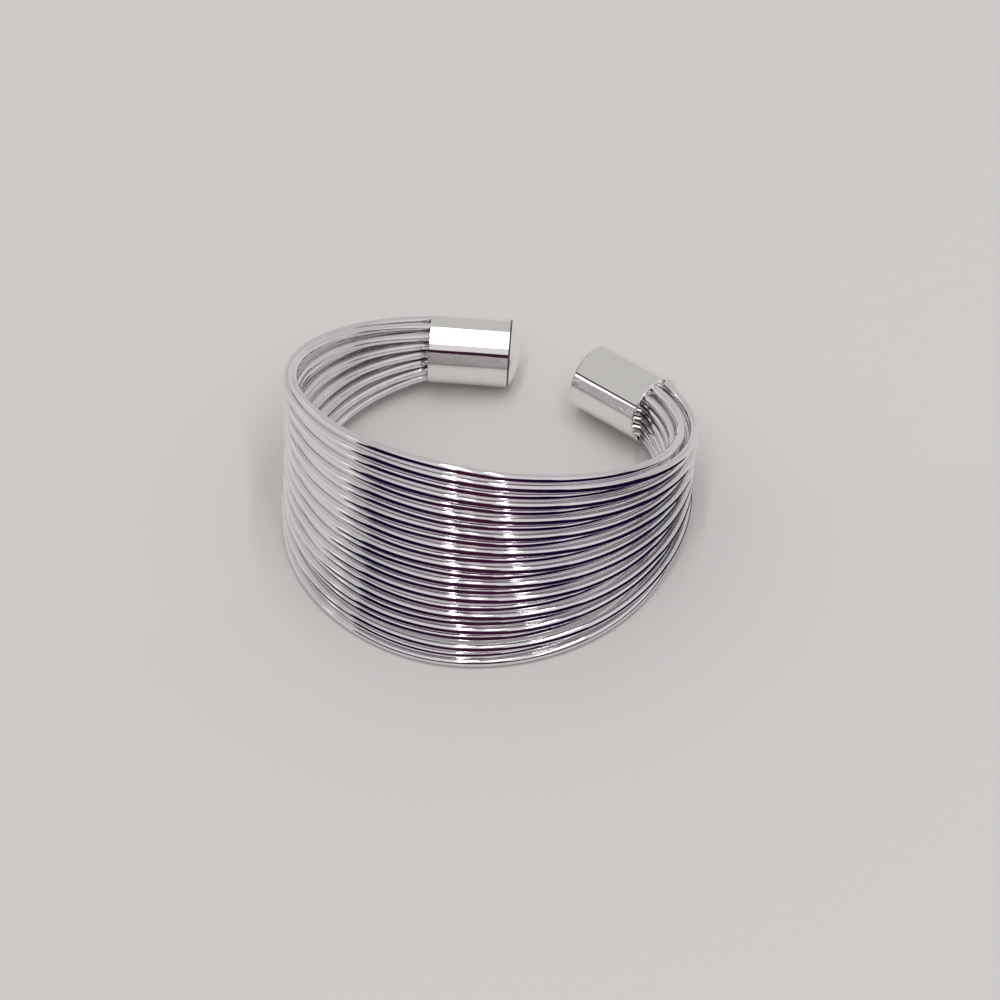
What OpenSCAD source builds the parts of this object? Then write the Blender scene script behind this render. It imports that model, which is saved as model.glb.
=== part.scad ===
// Open cuff ring: twenty-four fine round wires run side by side round the
// front of the finger, draw together at the back and end in two short
// closed tubes that face each other across a gap.
// Lengths are in millimetres and angles in degrees. The band's front is on
// -Y, its open back on +Y, +Z is up and the ring is the same left and right.
// It is shown as it rests: leaning back on its lowest wire and both tubes.

/* [Wires] */
// thickness of each round wire
wire_d = 0.385; // [0.3:0.005:0.5]
// least space left between two wires where they run into the tubes
wire_gap = 0.022; // [0.015:0.001:0.1]
// spacing of the wires at the front, times their spacing in the tubes
front_spread = 1.126; // [1.05:0.005:1.4]
// how far the wires run on inside the tubes
wire_hold = 2.5; // [0.5:0.1:3]
// how much thicker than the wire the small balls are that join its arcs
ball_extra = 0.01; // [0.006:0.002:0.014]

/* [Finger opening] */
// distance from the middle of the ring to the middle of its front wires
front_reach = 8.9; // [8:0.05:10]
// radius of the wires' bend round the front
front_bend_r = 9.02; // [8:0.01:10.5]
// how far round from the front that bend reaches on each side
front_bend_angle = 31; // [20:1:45]
// distance from the middle of the ring to the middle of a tube's mouth
mouth_reach = 8.65; // [8:0.05:10]
// place of a tube's mouth, measured round from the front
mouth_angle = 138.2; // [130:0.2:145]

/* [End tubes] */
// direction each tube runs from its mouth, measured from straight across
tube_turn = 19.7; // [10:0.1:30]
// length of a tube's straight side
tube_len = 3.87; // [3:0.01:6]
// wall of a tube
tube_wall = 0.1; // [0.08:0.01:0.4]
// space between the outermost wires and the tube's wall
tube_gap = 0.025; // [0.01:0.005:0.1]
// thickness of the closed end at its rim
end_wall = 0.5; // [0.2:0.05:1]
// how far the domed end stands out past the straight side
dome_h = 0.45; // [0.1:0.05:1]
// bevel round a tube's two edges
edge_bevel = 0.03; // [0.01:0.01:0.06]

/* [Hidden] */
wire_count = 24;
wire_r = wire_d / 2;
// layer of each wire in turn, over and over: 0 nearest the finger to 3
layer_of = [1, 3, 0, 2];
layers = len(layer_of);

// spacing of the wires inside the tubes, and the bundle it makes there: its
// radius and the places of its four layers, each as a share of its height
pitch = wire_d + wire_gap;
bundle_h = pitch * (wire_count - 1) / layers;
round_share = 0.541;
outer_share = 0.3315;
inner_share = 0.0884;
bundle_r = bundle_h * round_share;
outer_layer = bundle_h * outer_share;
inner_layer = bundle_h * inner_share;
// how far the layers are turned from the tube's own direction
bundle_twist = 11.7;

// band at the front, where the wires stand in two shallow layers: how far each
// stands off the middle there and at the sides, in spacings of the wires
band_h = pitch * front_spread * (wire_count - 1);
front_stagger = 0.38;
side_stagger = 0.65;
front_shift = pitch * front_stagger;
side_shift = pitch * side_stagger;

// size of the tubes, with some slack for wires that enter them at a slant
slant_share = 0.16;
mouth_slack = pitch * slant_share;
bore_r = bundle_r + mouth_slack + wire_r + tube_gap;
tube_r = bore_r + tube_wall;
bore_depth = tube_len - end_wall;
dome_r = (pow(tube_r - edge_bevel, 2) + dome_h * dome_h) / (2 * dome_h);
// how far the dome's rim stands in from the bevelled edge
dome_inset = 0.02;

// right-hand tube: its mouth, the way it runs and the way its layers lie
mouth = [mouth_reach * sin(mouth_angle), -mouth_reach * cos(mouth_angle), 0];
tube_dir = [-cos(tube_turn), sin(tube_turn), 0];
layer_dir = [sin(tube_turn + bundle_twist), cos(tube_turn + bundle_twist), 0];

// height up the band from -1 to 1, layer, and side of the band's middle
function level(i) = 1 - 2 * (i - 1) / (wire_count - 1);
function layer(i) = layer_of[(i - 1) % layers];
function side_of(i) = layer(i) < layers / 2 ? -1 : 1;
function is_outermost(i) = layer(i) == 0 || layer(i) == layers - 1;

// middle of wire i at the front, and where it enters the right-hand tube
function front_pt(i) = [0, -front_reach - front_shift * side_of(i), level(i) * band_h / 2];
function rise(i) = level(i) * bundle_h / 2;
function room(i) = sqrt(bundle_r * bundle_r - rise(i) * rise(i));
function across(i) = side_of(i) * min(room(i), is_outermost(i) ? outer_layer : inner_layer);
function enter_pt(i) = mouth + layer_dir * across(i) + [0, 0, rise(i)];

// each wire lies in its own sloping plane: one arc round the front and one
// on each side that meets it smoothly and ends at the tube's mouth
function run(i) = enter_pt(i) - front_pt(i);
function slope(i) = atan2(run(i)[2], run(i)[1]);
function back_len(i) = norm([run(i)[1], run(i)[2]]);
function front_r(i) = front_bend_r + side_shift * side_of(i);
function join_pt(i) = front_r(i) * [sin(front_bend_angle), 1 - cos(front_bend_angle)];
function to_end(i) = [run(i)[0], back_len(i)] - join_pt(i);
function ahead(i) = to_end(i) * [cos(front_bend_angle), sin(front_bend_angle)];
function aside(i) = to_end(i) * [-sin(front_bend_angle), cos(front_bend_angle)];
function back_r(i) = (pow(ahead(i), 2) + pow(aside(i), 2)) / (2 * aside(i));
function back_turn(i) = 2 * atan2(aside(i), ahead(i));
function back_mid(i) = join_pt(i) + back_r(i) * [-sin(front_bend_angle), cos(front_bend_angle)];

// two arcs stop this short of where they meet, inside the ball that joins them
join_gap = ball_extra;
function gap_angle(r) = asin(join_gap / r);

// lean at which the lowest wire's front and both tubes' far rims are level
rim_pt = mouth + tube_dir * (tube_len - edge_bevel);
low_pt = front_pt(wire_count);
lean_y = rim_pt[1] - low_pt[1];
function lean_for(drop) = atan2(-low_pt[2], lean_y) + asin((wire_r - drop) / norm([lean_y, low_pt[2]]));
function rim_drop(a) = tube_r * sqrt(1 - pow(tube_dir[1] * sin(a), 2));
lean = lean_for(rim_drop(lean_for(tube_r)));

// ends of the leaning ring from front to back, which centre it
function leaned_y(p) = p[1] * cos(lean) + p[2] * sin(lean);
function leaned_z(p) = p[2] * cos(lean) - p[1] * sin(lean);
front_end = min([for (i = [1:wire_count]) leaned_y(front_pt(i))]) - wire_r;
back_end = leaned_y(rim_pt) + tube_r * sqrt(1 - pow(tube_dir[1] * cos(lean), 2));
rest_shift = [0, -(front_end + back_end) / 2, wire_r - leaned_z(low_pt)];

function wire_name(i) = str("wire_", i < 10 ? "0" : "", i);
// which sub-part is drawn

module at_rest() {
    translate(rest_shift) rotate([-lean, 0, 0]) children();
}

// part of a round wire hoop of radius r about mid, from one angle by a turn
module arc(mid, r, from, turn) {
    translate([mid[0], mid[1], 0])
    rotate_extrude(angle = turn, start = from, $fn = 120)
    translate([r, 0])
    circle(r = wire_r, $fn = 40);
}

// small ball that joins two runs of a wire, its poles along the wire
module ball(p, a) {
    translate(p) rotate([0, 90, a]) sphere(r = wire_r + ball_extra / 2, $fn = 40);
}

// straight end of a wire inside a tube
module held_end(p, a) {
    ball(p, a);
    translate(p) rotate([0, 90, a]) cylinder(r = wire_r, h = wire_hold, $fn = 40);
}

module wire(i) {
    join = join_pt(i);
    mid = back_mid(i);
    front_gap = gap_angle(front_r(i));
    back_gap = gap_angle(back_r(i));
    half = front_bend_angle - front_gap;
    from = front_bend_angle + back_gap;
    turn = back_turn(i) - back_gap;
    end = enter_pt(i);
    color([0.82, 0.81, 0.81])
    at_rest()
    union() {
        translate(front_pt(i))
        rotate([slope(i), 0, 0]) {
            arc([0, front_r(i)], front_r(i), -90 - half, 2 * half);
            arc(mid, back_r(i), from - 90, turn);
            arc([-mid[0], mid[1]], back_r(i), -90 - from - turn, turn);
            ball([join[0], join[1], 0], front_bend_angle);
            ball([-join[0], join[1], 0], -front_bend_angle);
        }
        held_end(end, 180 - tube_turn);
        held_end([-end[0], end[1], end[2]], tube_turn);
    }
}

// closed tube along +Z with its open mouth at the origin
module end_tube() {
    difference() {
        rotate_extrude($fn = 120)
        polygon([
            [0, 0],
            [tube_r - edge_bevel, 0],
            [tube_r, edge_bevel],
            [tube_r, tube_len - edge_bevel],
            [tube_r - edge_bevel, tube_len],
            [0, tube_len]
        ]);
        translate([0, 0, -1]) cylinder(r = bore_r, h = bore_depth + 1, $fn = 120);
    }
}

// shallow dome that closes the far end
module end_dome() {
    intersection() {
        translate([0, 0, tube_len + dome_h - dome_r]) sphere(r = dome_r, $fn = 120);
        translate([0, 0, tube_len - end_wall / 2])
        cylinder(r = tube_r - edge_bevel - dome_inset, h = end_wall + dome_h, $fn = 120);
    }
}

module tube(side) {
    color([0.86, 0.85, 0.83])
    at_rest()
    translate([side * mouth[0], mouth[1], mouth[2]])
    rotate([0, 90, side > 0 ? 180 - tube_turn : tube_turn])
    union() {
        end_tube();
        end_dome();
    }
}

module tube_right() {
    tube(1);
}

module tube_left() {
    tube(-1);
}

for (i = [1:wire_count]) wire(i);
tube_right();
tube_left();
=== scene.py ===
import math
import random

import bmesh
import bpy
from mathutils import Matrix, Vector


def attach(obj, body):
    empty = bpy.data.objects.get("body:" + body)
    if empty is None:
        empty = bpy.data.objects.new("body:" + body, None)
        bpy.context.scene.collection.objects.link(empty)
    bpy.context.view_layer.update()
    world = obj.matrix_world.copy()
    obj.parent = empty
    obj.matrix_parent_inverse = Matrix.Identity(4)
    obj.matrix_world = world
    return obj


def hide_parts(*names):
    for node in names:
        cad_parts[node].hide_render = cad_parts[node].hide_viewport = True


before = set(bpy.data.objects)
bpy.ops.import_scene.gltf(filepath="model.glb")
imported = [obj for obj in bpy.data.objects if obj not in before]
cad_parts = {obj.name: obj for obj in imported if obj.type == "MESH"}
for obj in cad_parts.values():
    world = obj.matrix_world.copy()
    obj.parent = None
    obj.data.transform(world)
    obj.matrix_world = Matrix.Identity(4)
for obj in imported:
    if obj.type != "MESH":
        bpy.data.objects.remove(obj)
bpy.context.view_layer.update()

MM = 0.001
WIRE_COUNT = 24
TUBE_SIDES = {"tube_right": 1, "tube_left": -1}

# Ring sizes in millimetres and degrees, the same as those of the solids
WIRE_D = 0.385
WIRE_GAP = 0.022
FRONT_SPREAD = 1.126
FRONT_REACH = 8.9
FRONT_BEND_R = 9.02
FRONT_BEND_ANGLE = math.radians(31)
MOUTH_REACH = 8.65
MOUTH_ANGLE = math.radians(138.2)
TUBE_TURN = math.radians(19.7)
TUBE_LEN = 3.87
TUBE_WALL = 0.1
TUBE_GAP = 0.025
EDGE_BEVEL = 0.03
DOME_H = 0.45
LAYER_OF = (1, 3, 0, 2)
BUNDLE_TWIST = math.radians(11.7)

# Shares of the bundle's height and of the wires' spacing, also as in the solids
ROUND_SHARE = 0.541
FRONT_STAGGER = 0.38
SIDE_STAGGER = 0.65
SLANT_SHARE = 0.16

# Sizes that follow from them
PITCH = WIRE_D + WIRE_GAP
BUNDLE_H = PITCH * (WIRE_COUNT - 1) / len(LAYER_OF)
BUNDLE_R = BUNDLE_H * ROUND_SHARE
BAND_H = PITCH * FRONT_SPREAD * (WIRE_COUNT - 1)
SIDE_SHIFT = PITCH * SIDE_STAGGER
CAD_FRONT_SHIFT = PITCH * FRONT_STAGGER
BORE_R = BUNDLE_R + PITCH * SLANT_SHARE + WIRE_D / 2 + TUBE_GAP
TUBE_R = BORE_R + TUBE_WALL
MOUTH = Vector((MOUTH_REACH * math.sin(MOUTH_ANGLE), -MOUTH_REACH * math.cos(MOUTH_ANGLE), 0))
TUBE_DIR = Vector((-math.cos(TUBE_TURN), math.sin(TUBE_TURN), 0))
LAYER_DIR = Vector((math.sin(TUBE_TURN + BUNDLE_TWIST), math.cos(TUBE_TURN + BUNDLE_TWIST), 0))

# The shown wires are a little thicker than the solids, with a shallower front
SHOWN_WIRE_D = 0.402
FRONT_SHIFT = 0.05
# They fill the tubes' mouths: height, radius and layers of the shown bundle,
# and how far the wires run on inside
SHOWN_BUNDLE_H = 2.62
SHOWN_BUNDLE_R = 1.33
SHOWN_LAYERS = (-0.72, -0.24, 0.24, 0.72)
HOLD_SHOWN = 0.8
# How far each wire lies above or below an even spacing at the front, in
# hundredths of a millimetre, from the top wire to the bottom one
FRONT_NUDGE = (10, 8, 2, 2, 2, 4, -1, 1, -2, 2, -4, -4, -3, 1, -1, 3, -8, -3, -1, 5, 5, -3, -4, 3)
# Wander of a hand-bent wire: how far it goes up and outward, how often it turns
# over on its way round, and how soon all unevenness fades away from the front
WANDER_UP = 0.01
WANDER_OUT = 0.02
SLOW_TURNS = (1.5, 3.5)
QUICK_TURNS = (6, 10)
UNEVEN_FADE = 0.55
WIRE_SEED = 100

# The bevel at a tube's closed end, and the dome's rim inside it
END_BEVEL = 0.08
DOME_RIM_R = TUBE_R - END_BEVEL
# Solder fills the tubes up to this depth from the mouth
SOLDER_DEPTH = 0.15

# How finely the pieces are divided
WIRE_SIDES = 16
FRONT_STEPS = 44
BACK_STEPS = 72
HOLD_STEPS = 4
SIDE_RINGS = 40
DOME_STEPS = 10
TUBE_STEPS = 96
MERGE_DIST = 1e-5
TUBE_CREASE = math.radians(28)
LEAN_ROUNDS = 3


def leaned(point, lean):
    """A ring point after the ring leans back by that angle about X."""
    return Matrix.Rotation(-lean, 3, "X") @ point


def level(i):
    """Height up the band, from 1 for the top wire to -1 for the bottom one."""
    return 1 - 2 * i / (WIRE_COUNT - 1)


def layer(i):
    """Layer of a wire, 0 nearest the finger."""
    return LAYER_OF[i % len(LAYER_OF)]


def side_of(i):
    """1 for a wire that lies outside the band's middle, else -1."""
    return 1 if layer(i) >= len(LAYER_OF) / 2 else -1


def front_point(i, shift):
    """Middle of wire i at the front of the band."""
    return Vector((0, -FRONT_REACH - shift * side_of(i), level(i) * BAND_H / 2))


def enter_point(i):
    """Where wire i runs into the right-hand tube."""
    rise = level(i) * SHOWN_BUNDLE_H / 2
    room = math.sqrt(SHOWN_BUNDLE_R ** 2 - rise ** 2)
    across = max(-room, min(room, SHOWN_LAYERS[layer(i)]))
    return MOUTH + LAYER_DIR * across + Vector((0, 0, rise))


def rest_place():
    """Lean of the ring on its lowest wire and both tubes, and its shift onto the floor."""
    rim = MOUTH + TUBE_DIR * (TUBE_LEN - EDGE_BEVEL)
    low = front_point(WIRE_COUNT - 1, CAD_FRONT_SHIFT)
    back = rim.y - low.y
    lean = 0
    for _ in range(LEAN_ROUNDS):
        drop = TUBE_R * math.sqrt(1 - (TUBE_DIR.y * math.sin(lean)) ** 2)
        sink = math.asin((WIRE_D / 2 - drop) / math.hypot(back, low.z))
        lean = math.atan2(-low.z, back) + sink
    fronts = [leaned(front_point(i, CAD_FRONT_SHIFT), lean).y for i in range(WIRE_COUNT)]
    front_end = min(fronts) - WIRE_D / 2
    back_end = leaned(rim, lean).y + TUBE_R * math.sqrt(1 - (TUBE_DIR.y * math.cos(lean)) ** 2)
    raised = WIRE_D / 2 - leaned(low, lean).z
    return lean, Vector((0, -(front_end + back_end) / 2, raised))


LEAN, REST_SHIFT = rest_place()
AT_REST = Matrix.Translation(REST_SHIFT) @ Matrix.Rotation(-LEAN, 4, "X")
TO_FRAME = Matrix.Scale(MM, 4) @ AT_REST


def placed(name, bm):
    """Turns a bmesh into an object of the scene."""
    mesh = bpy.data.meshes.new(name)
    bm.to_mesh(mesh)
    bm.free()
    thing = bpy.data.objects.new(name, mesh)
    bpy.context.scene.collection.objects.link(thing)
    return thing


def finished_piece(name, bm, crease=None):
    """Turns a bmesh in ring millimetres into a smooth piece placed in the frame."""
    bmesh.ops.transform(bm, matrix=TO_FRAME, verts=bm.verts)
    bmesh.ops.recalc_face_normals(bm, faces=bm.faces)
    for face in bm.faces:
        face.smooth = True
    if crease is not None:
        for edge in bm.edges:
            if edge.is_manifold and edge.calc_face_angle() > crease:
                edge.smooth = False
    return placed(name, bm)


class Socket:
    """A shader socket that takes part in Python expressions."""

    def __init__(self, kit, socket):
        self.kit = kit
        self.socket = socket

    def _math(self, operation, first, second):
        return self.kit.node("ShaderNodeMath", {"operation": operation}, [first, second])

    def __add__(self, other):
        return self._math("ADD", self, other)

    def __radd__(self, other):
        return self._math("ADD", other, self)

    def __sub__(self, other):
        return self._math("SUBTRACT", self, other)

    def __rsub__(self, other):
        return self._math("SUBTRACT", other, self)

    def __mul__(self, other):
        return self._math("MULTIPLY", self, other)

    def __rmul__(self, other):
        return self._math("MULTIPLY", other, self)


class Finish:
    """A material and the one method that adds its nodes."""

    def __init__(self, name):
        self.material = bpy.data.materials.new(name)
        self.material.use_nodes = True
        self.tree = self.material.node_tree
        self.surface = self.tree.nodes["Principled BSDF"]
        self.output = self.tree.nodes["Material Output"]

    def put(self, socket, value):
        """Links a wrapped socket into a node's socket, or sets a plain value on it."""
        if isinstance(value, Socket):
            self.tree.links.new(value.socket, socket)
        else:
            socket.default_value = value

    def node(self, kind, settings=None, values=None, out=0):
        """Adds a node, sets its settings first and then its inputs, by name or in order."""
        made = self.tree.nodes.new(kind)
        for key, value in (settings or {}).items():
            if key == "stops":
                for element, (place, colour) in zip(made.color_ramp.elements, value):
                    element.position = place
                    element.color = colour
            else:
                setattr(made, key, value)
        pairs = values.items() if isinstance(values, dict) else enumerate(values or [])
        for key, value in pairs:
            self.put(made.inputs[key], value)
        return Socket(self, made.outputs[out])

    def mixed(self, factor, first, second):
        """A colour between two others."""
        return self.node("ShaderNodeMix", {"data_type": "RGBA"}, {0: factor, 6: first, 7: second}, out=2)

    def set(self, **values):
        """Sets the surface's own sockets, with a space for each underscore in the name."""
        for key, value in values.items():
            self.put(self.surface.inputs[key.replace("_", " ")], value)

    def glow(self, colour, strength):
        """Makes the whole surface glow."""
        light = self.node("ShaderNodeEmission", values={"Color": colour, "Strength": strength})
        self.tree.links.new(light.socket, self.output.inputs["Surface"])


# Finish of the plate: size of its dents and haze, and how rough the haze and the painted dark line at a
# tube's end bevel are
DENT_SCALE = 650
HAZE_SCALE = 420
HAZE_ROUGH = 0.05
# Painted reflection: a dark line on each tube's end bevel stands in for a dark reflection there; it is not
# a real seam
PAINTED_EDGE_LINE_DARK = (0.10, 0.07, 0.11, 1)
PAINTED_EDGE_LINE_ROUGH = 0.25
WIRE_BRIGHT = (0.93, 0.91, 0.92, 1)
WIRE_DULL = (0.86, 0.84, 0.86, 1)
WIRE_ROUGH = 0.04
WIRE_DENT = 0.0000012
TUBE_BRIGHT = (0.98, 0.97, 0.95, 1)
TUBE_DULL = (0.93, 0.92, 0.90, 1)
TUBE_ROUGH = 0.03
TUBE_DENT = 0.000006


def polished_silver(name, bright, dull, roughness, dent_depth, has_painted_edge_line=False):
    """Mirror-polished plate with faint dents, patches of haze and, on a tube, a painted dark line on the
    end bevel that stands in for a dark reflection.
    """
    silver = Finish(name)
    place = silver.node("ShaderNodeTexCoord", out="Object")
    haze = silver.node(
        "ShaderNodeTexNoise",
        values={"Vector": place, "Scale": HAZE_SCALE, "Detail": 4.0, "Roughness": 0.6},
    )
    dents = silver.node(
        "ShaderNodeTexNoise",
        values={"Vector": place, "Scale": DENT_SCALE, "Detail": 2.0, "Roughness": 0.5},
    )
    bump = silver.node(
        "ShaderNodeBump",
        values={"Strength": 1.0, "Distance": dent_depth, "Height": dents},
    )
    tone = silver.mixed(haze, bright, dull)
    rough = roughness + haze * HAZE_ROUGH
    # Painted reflection: the end bevel's faces are darkened and roughened to draw the dark line
    if has_painted_edge_line:
        painted_edge_line = silver.node("ShaderNodeAttribute", {"attribute_name": "painted_edge_line"}, out="Fac")
        tone = silver.mixed(painted_edge_line, tone, PAINTED_EDGE_LINE_DARK)
        rough = rough + painted_edge_line * PAINTED_EDGE_LINE_ROUGH
    silver.set(Base_Color=tone, Metallic=1.0, Roughness=rough, Normal=bump)
    return silver.material


def drawn_round(bm, rim, centre, axis, angle, steps):
    """Spins an open rim of wire about an axis and returns the rim at the far end."""
    made = bmesh.ops.spin(
        bm, geom=rim, cent=centre, axis=axis, dvec=(0, 0, 0), angle=angle, steps=steps
    )
    return [part for part in made["geom_last"] if isinstance(part, bmesh.types.BMEdge)]


def drawn_straight(bm, rim, step, steps):
    """Extrudes an open rim of wire straight on and returns the rim at the far end."""
    for _ in range(steps):
        made = bmesh.ops.extrude_edge_only(bm, edges=rim)
        verts = [part for part in made["geom"] if isinstance(part, bmesh.types.BMVert)]
        rim = [part for part in made["geom"] if isinstance(part, bmesh.types.BMEdge)]
        rim = [edge for edge in rim if all(vert in verts for vert in edge.verts)]
        bmesh.ops.translate(bm, verts=verts, vec=step)
    return rim


def bend_by_hand(bm, i):
    """Gives a wire its own height at the front and a slight wander along its run."""
    chance = random.Random(WIRE_SEED + i)
    turns = (chance.uniform(*SLOW_TURNS), chance.uniform(*QUICK_TURNS))
    starts = (chance.uniform(0, math.tau), chance.uniform(0, math.tau))
    nudge = FRONT_NUDGE[i] / 100
    for vert in bm.verts:
        around = math.atan2(vert.co.x, -vert.co.y)
        near_front = max(math.cos(around * UNEVEN_FADE), 0) ** 2
        outward = Vector((math.sin(around), -math.cos(around), 0))
        vert.co.z += nudge * near_front
        vert.co.z += WANDER_UP * near_front * math.sin(turns[0] * around + starts[0])
        vert.co += outward * WANDER_OUT * near_front * math.sin(turns[1] * around + starts[1])


def band_wire(i):
    """One wire of the band, from inside one tube, round the front, into the other."""
    front = front_point(i, FRONT_SHIFT)
    enter = enter_point(i)
    run = enter - front
    slope = math.atan2(run.z, run.y)
    plane = Matrix.Translation(front) @ Matrix.Rotation(slope, 4, "X")
    front_r = FRONT_BEND_R + SIDE_SHIFT * side_of(i)
    ahead = Vector((math.cos(FRONT_BEND_ANGLE), math.sin(FRONT_BEND_ANGLE)))
    aside = Vector((-ahead.y, ahead.x))
    join = front_r * Vector((ahead.y, 1 - ahead.x))
    to_end = Vector((run.x, math.hypot(run.y, run.z))) - join
    along = to_end.dot(ahead)
    off = to_end.dot(aside)
    back_r = to_end.length_squared / (2 * off)
    back_turn = 2 * math.atan2(off, along)
    back_mid = join + back_r * aside

    bm = bmesh.new()
    end_heading = FRONT_BEND_ANGLE + back_turn
    start = Vector((-run.x, math.hypot(run.y, run.z), 0))
    facing = Matrix.Rotation(math.pi / 2 - end_heading, 4, "Z") @ Matrix.Rotation(math.pi / 2, 4, "X")
    bmesh.ops.create_circle(
        bm, segments=WIRE_SIDES, radius=SHOWN_WIRE_D / 2, matrix=Matrix.Translation(start) @ facing
    )
    first = list(bm.edges)
    up = Vector((0, 0, 1))
    left_mid = Vector((-back_mid.x, back_mid.y, 0))
    right_mid = Vector((back_mid.x, back_mid.y, 0))
    rim = drawn_round(bm, first, left_mid, up, back_turn, BACK_STEPS)
    rim = drawn_round(bm, rim, Vector((0, front_r, 0)), up, 2 * FRONT_BEND_ANGLE, FRONT_STEPS)
    last = drawn_round(bm, rim, right_mid, up, back_turn, BACK_STEPS)
    bmesh.ops.transform(bm, matrix=plane, verts=bm.verts)
    bend_by_hand(bm, i)
    ends = []
    for rim, way in ((first, -1), (last, 1)):
        step = Vector((TUBE_DIR.x * way, TUBE_DIR.y, 0)) * HOLD_SHOWN / HOLD_STEPS
        ends.append(drawn_straight(bm, rim, step, HOLD_STEPS))
    for rim in ends:
        bmesh.ops.holes_fill(bm, edges=rim, sides=0)
    return finished_piece(f"band_wire_{i + 1:02d}", bm)


def tube_profile():
    """Half section of an end tube, by radius and distance from the mouth."""
    lip = EDGE_BEVEL
    dome_r = (DOME_RIM_R ** 2 + DOME_H ** 2) / (2 * DOME_H)
    profile = [(0, SOLDER_DEPTH), (BORE_R, SOLDER_DEPTH), (BORE_R, lip)]
    profile += [(BORE_R + lip, 0), (TUBE_R - lip, 0), (TUBE_R, lip)]
    straight = (TUBE_LEN - lip - END_BEVEL) / SIDE_RINGS
    profile += [(TUBE_R, lip + straight * k) for k in range(1, SIDE_RINGS + 1)]
    profile.append((DOME_RIM_R, TUBE_LEN))
    for k in range(1, DOME_STEPS + 1):
        radius = DOME_RIM_R * (1 - k / DOME_STEPS)
        height = math.sqrt(dome_r ** 2 - radius ** 2) - (dome_r - DOME_H)
        profile.append((radius, TUBE_LEN + height))
    return profile


def end_tube(name, side):
    """A thin tube with an open mouth for the wires and a shallow domed far end."""
    bm = bmesh.new()
    verts = [bm.verts.new((radius, 0, along)) for radius, along in tube_profile()]
    edges = [bm.edges.new(pair) for pair in zip(verts, verts[1:])]
    bmesh.ops.spin(
        bm, geom=verts + edges, cent=(0, 0, 0), axis=(0, 0, 1), dvec=(0, 0, 0),
        angle=math.tau, steps=TUBE_STEPS, use_merge=True,
    )
    bmesh.ops.remove_doubles(bm, verts=bm.verts, dist=MERGE_DIST)
    # Marks the end bevel's faces, where the painted dark reflection line goes
    painted_edge_line = bm.faces.layers.float.new("painted_edge_line")
    for face in bm.faces:
        rims = [TUBE_LEN - END_BEVEL <= round(vert.co.z, 4) <= TUBE_LEN for vert in face.verts]
        face[painted_edge_line] = 1.0 if all(rims) else 0.0
    heading = math.pi - TUBE_TURN if side > 0 else TUBE_TURN
    turned = Matrix.Rotation(heading, 4, "Z") @ Matrix.Rotation(math.pi / 2, 4, "Y")
    at_mouth = Matrix.Translation(Vector((side * MOUTH.x, MOUTH.y, 0)))
    bmesh.ops.transform(bm, matrix=at_mouth @ turned, verts=bm.verts)
    return finished_piece(f"end_{name}", bm, TUBE_CREASE)


def dress(piece, node, material):
    """Gives a piece its finish, hangs it on the root body and hides the solid it stands for."""
    piece.data.materials.append(material)
    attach(piece, "root")
    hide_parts(node)


wire_silver = polished_silver("polished wire silver", WIRE_BRIGHT, WIRE_DULL, WIRE_ROUGH, WIRE_DENT)
tube_silver = polished_silver(
    "polished tube silver", TUBE_BRIGHT, TUBE_DULL, TUBE_ROUGH, TUBE_DENT, has_painted_edge_line=True
)
for i in range(WIRE_COUNT):
    dress(band_wire(i), f"wire_{i + 1:02d}", wire_silver)
for node, side in TUBE_SIDES.items():
    dress(end_tube(node, side), node, tube_silver)


# Camera: where it stands about the ring, in degrees and metres
CAMERA_SIDE = math.radians(25.63)
CAMERA_ELEVATION = math.radians(48.76)
CAMERA_ROLL = math.radians(-3.41)
CAMERA_DISTANCE = 0.13293
CAMERA_LENS = 102.6
SENSOR_WIDTH = 36
NEAREST_SEEN = 0.001
LOOK_AT = Vector((0.446, 0.079 + REST_SHIFT.y, 0)) * MM

# Floor and even light
FLOOR_HALF = 1.5
FLOOR_COLOUR = (0.70, 0.686, 0.672, 1)
FLOOR_ROUGH = 0.9
ROOM_COLOUR = (0.79, 0.775, 0.77, 1)
ROOM_STRENGTH = 0.66

# Colours of the cards, and how high the ceiling lights hang
CEILING = 0.5
NAVY = (0.007, 0.003, 0.026, 1)
PLUM = (0.045, 0.009, 0.030, 1)
LILAC = (0.70, 0.662, 0.695, 1)
PALE = (0.68, 0.665, 0.655, 1)
WINDOW_STRENGTH = 1.9

# The dark cove lies on the floor from just outside the ring and stands up at its
# far end. Plum gives way to navy between two angles from its middle, in radians
COVE_START = 0.0100
COVE_REACH = 0.28
COVE_LOW = 0.0003
COVE_TURN = 0.12
PLUM_ENDS = 0.15
NAVY_STARTS = 0.55
# Sectors of the cove about the camera's direction, and how high each stands
COVE_PARTS = ((-68, -18, 0.15), (-18, 6, 0.25), (6, 44, 0.14), (44, 92, 0.065))
# The pale canopy goes on from the cove's top, up and over to the middle
CANOPY_REACH = 0.42
CANOPY_TOP = 0.52
CANOPY_MIDDLE = 0.001
CARD_STEPS = 36


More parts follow.
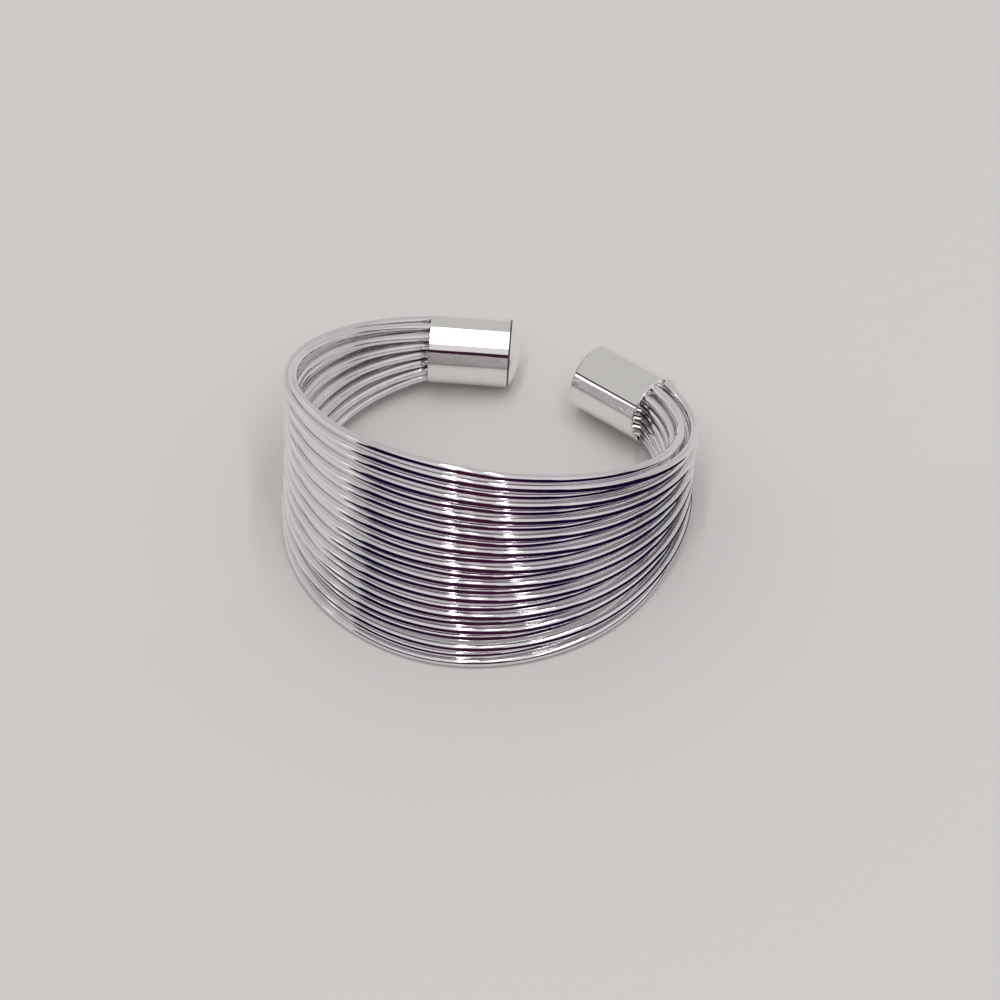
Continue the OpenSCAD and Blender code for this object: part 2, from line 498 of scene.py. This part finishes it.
def add_camera():
    """The camera at the photograph's angle."""
    data = bpy.data.cameras.new("photo camera")
    data.sensor_width = SENSOR_WIDTH
    data.lens = CAMERA_LENS
    data.clip_start = NEAREST_SEEN
    camera = bpy.data.objects.new("photo camera", data)
    bpy.context.scene.collection.objects.link(camera)
    flat = math.cos(CAMERA_ELEVATION)
    away = Vector((math.sin(CAMERA_SIDE) * flat, -math.cos(CAMERA_SIDE) * flat, math.sin(CAMERA_ELEVATION)))
    right = Vector((math.cos(CAMERA_SIDE), math.sin(CAMERA_SIDE), 0))
    upward = away.cross(right)
    right, upward = (
        right * math.cos(CAMERA_ROLL) + upward * math.sin(CAMERA_ROLL),
        upward * math.cos(CAMERA_ROLL) - right * math.sin(CAMERA_ROLL),
    )
    turn = Matrix((right, upward, away)).transposed().to_4x4()
    camera.matrix_world = Matrix.Translation(LOOK_AT + away * CAMERA_DISTANCE) @ turn
    bpy.context.scene.camera = camera


def pale_floor():
    """The plain floor that the ring rests on."""
    floor_finish = Finish("pale floor")
    floor_finish.set(Base_Color=FLOOR_COLOUR, Roughness=FLOOR_ROUGH)
    bm = bmesh.new()
    bmesh.ops.create_grid(bm, x_segments=1, y_segments=1, size=FLOOR_HALF)
    floor = placed("floor", bm)
    floor.data.materials.append(floor_finish.material)


def room_light():
    """Even pale light from all round."""
    world = bpy.data.worlds.new("room")
    world.use_nodes = True
    backdrop = world.node_tree.nodes["Background"]
    backdrop.inputs["Color"].default_value = ROOM_COLOUR
    backdrop.inputs["Strength"].default_value = ROOM_STRENGTH
    bpy.context.scene.world = world
    bpy.context.scene.view_settings.view_transform = "Standard"


def strip_light(name, near, far, width, power):
    """A long ceiling light from one place to another, each as metres toward and right of the camera."""
    toward = Vector((math.sin(CAMERA_SIDE), -math.cos(CAMERA_SIDE), 0))
    across = Vector((math.cos(CAMERA_SIDE), math.sin(CAMERA_SIDE), 0))
    start = toward * near[0] + across * near[1]
    end = toward * far[0] + across * far[1]
    data = bpy.data.lights.new(name, "AREA")
    data.shape = "RECTANGLE"
    data.size = (end - start).length
    data.size_y = width
    data.energy = power
    lamp = bpy.data.objects.new(name, data)
    bpy.context.scene.collection.objects.link(lamp)
    lamp.location = (start + end) / 2 + Vector((0, 0, CEILING))
    lamp.rotation_euler = (0, 0, math.atan2(end.y - start.y, end.x - start.x))


def card_swept_round(name, profile, first, last, material):
    """
    A card whose profile of distance and height is swept round the ring between two angles.

    Only mirror reflections see it, as a studio uses cards to draw lines on silver.
    """
    bm = bmesh.new()
    turn = CAMERA_SIDE + math.radians(first) - math.pi / 2
    places = [(math.cos(turn) * away, math.sin(turn) * away, high) for away, high in profile]
    verts = [bm.verts.new(place) for place in places]
    edges = [bm.edges.new(pair) for pair in zip(verts, verts[1:])]
    bmesh.ops.spin(
        bm, geom=verts + edges, cent=(0, 0, 0), axis=(0, 0, 1), dvec=(0, 0, 0),
        angle=math.radians(last - first), steps=CARD_STEPS,
    )
    card = placed(name, bm)
    card.data.materials.append(material)
    card.visible_camera = False
    card.visible_shadow = False
    card.visible_diffuse = False


def cove_glow():
    """Near-black glow of the dark cove: plum in front of the camera, navy to the sides."""
    cove = Finish("dark cove")
    place = cove.node("ShaderNodeTexCoord", out="Object")
    x = cove.node("ShaderNodeSeparateXYZ", values=[place], out="X")
    y = cove.node("ShaderNodeSeparateXYZ", values=[place], out="Y")
    aside = x * math.cos(CAMERA_SIDE) + y * math.sin(CAMERA_SIDE)
    toward = x * math.sin(CAMERA_SIDE) - y * math.cos(CAMERA_SIDE)
    azimuth = cove.node("ShaderNodeMath", {"operation": "ARCTAN2"}, [aside, toward])
    off = cove.node("ShaderNodeMath", {"operation": "ABSOLUTE"}, [azimuth + COVE_TURN])
    stops = [(PLUM_ENDS, PLUM), (NAVY_STARTS, NAVY)]
    cove.glow(cove.node("ShaderNodeValToRGB", {"stops": stops}, [off]), 1.0)
    return cove.material


def plain_glow(name, colour, strength):
    """An even glow for a card."""
    card = Finish(name)
    card.glow(colour, strength)
    return card.material


add_camera()
pale_floor()
room_light()
strip_light("left strip light", (0.40, -0.135), (-0.12, -0.01), 0.019, 0.50)
strip_light("right strip light", (0.42, 0.16), (-0.12, 0.128), 0.024, 0.59)
strip_light("faint strip light", (0.28, -0.014), (-0.30, 0.052), 0.038, 0.13)

dark = cove_glow()
lilac = plain_glow("pale canopy", LILAC, 1.0)
for first, last, top in COVE_PARTS:
    cove = [(COVE_START, COVE_LOW), (COVE_REACH, COVE_LOW), (COVE_REACH, top)]
    card_swept_round("dark cove", cove, first, last, dark)
    canopy = [(COVE_REACH, top), (CANOPY_REACH, CANOPY_TOP), (CANOPY_MIDDLE, CANOPY_TOP)]
    card_swept_round("pale canopy", canopy, first, last, lilac)

# To the left of the camera: a pale card, and a window in front of it with a dark bar on top
side_card = [(0.30, 0.002), (0.30, 0.11)]
card_swept_round("pale side card", side_card, -150, -68, plain_glow("pale side card", PALE, 1.0))
window = [(0.29, 0.036), (0.29, 0.148)]
card_swept_round("side window", window, -85, -80, plain_glow("side window", PALE, WINDOW_STRENGTH))
window_bar = [(0.29, 0.149), (0.29, 0.176)]
card_swept_round("window bar", window_bar, -96, -76, dark)
